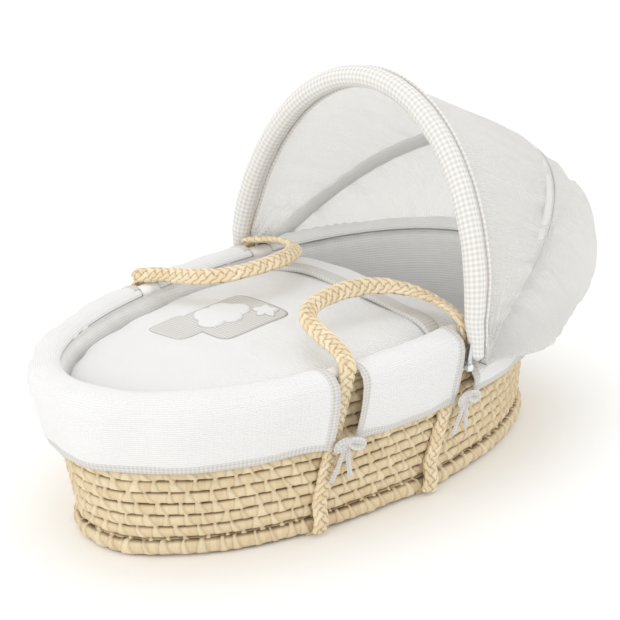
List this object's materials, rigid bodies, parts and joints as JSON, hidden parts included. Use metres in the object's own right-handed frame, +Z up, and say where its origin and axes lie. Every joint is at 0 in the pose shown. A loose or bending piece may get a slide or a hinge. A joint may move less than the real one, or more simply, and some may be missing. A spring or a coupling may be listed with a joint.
{
  "type": "moses basket",
  "caption": "Woven baby basket with leaf-rope carrying handles, a padded fabric liner and skirt, mattress and quilt, and a folding two-hoop hood at the head end.",
  "frame": {"origin": "centre of the basket's underside, on the plane it stands on", "axes": "+X along the basket towards the head end and its hood, -Y the near side, +Z up"},
  "size_m": [0.9088, 0.4844, 0.5291],
  "materials": {
    "straw": "woven dried leaf, matt",
    "rope": "plaited dried leaf, matt",
    "cotton": "fine ribbed white cotton",
    "gingham": "beige and white gingham cotton",
    "steel": "drawn spring wire",
    "plastic": "moulded white plastic"
  },
  "bodies": {
    "basket": {"basket_floor": "straw", "foot_coil": "straw", "basket_wall": "straw", "rim_coil": "straw", "liner_pad": "cotton", "rim_roll": "cotton", "liner_floor": "cotton", "skirt_foot": "cotton", "skirt_middle_near": "cotton", "skirt_middle_far": "cotton", "skirt_head": "cotton", "strap_near_foot": "rope", "strap_far_foot": "rope", "strap_near_head": "rope", "strap_far_head": "rope", "strap_under_foot": "rope", "strap_under_head": "rope", "tie_near_foot": "gingham", "tie_near_head": "gingham", "tie_far_foot": "gingham", "tie_far_head": "gingham", "mattress": "cotton", "quilt": "cotton", "quilt_turnback": "gingham", "quilt_patch": "gingham", "hood_bracket_near": "plastic", "hood_bracket_far": "plastic", "hood_elastic": "cotton"},
    "handle_near": {"handle_near": "rope"},
    "handle_far": {"handle_far": "rope"},
    "hood_rear": {"hood_rear_hoop": "steel", "hood_channel": "cotton", "canopy_rear": "cotton"},
    "hood_front": {"hood_front_hoop": "steel", "hood_sleeve": "gingham", "canopy_front": "cotton"}
  },
  "joints": [
    {"name": "handle_near_swing", "type": "hinge", "parent": "basket", "child": "handle_near", "pos_m": [0, -0.211, 0.24], "axis": [1, 0, 0], "range_deg": [0, 62]},
    {"name": "handle_far_swing", "type": "hinge", "parent": "basket", "child": "handle_far", "pos_m": [0, 0.211, 0.24], "axis": [-1, 0, 0], "range_deg": [0, 62]},
    {"name": "hood_rear_pivot", "type": "hinge", "parent": "basket", "child": "hood_rear", "pos_m": [0.066, 0, 0.186], "axis": [0, 1, 0], "range_deg": [0, 16], "deforming": ["canopy_rear"]},
    {"name": "hood_front_pivot", "type": "hinge", "parent": "hood_rear", "child": "hood_front", "pos_m": [0.066, 0, 0.186], "axis": [0, 1, 0], "range_deg": [0, 32], "deforming": ["canopy_front"]}
  ],
  "couplings": [
    {"joint": "hood_rear_pivot", "follows": "hood_front_pivot", "ratio": 0.5}
  ]
}
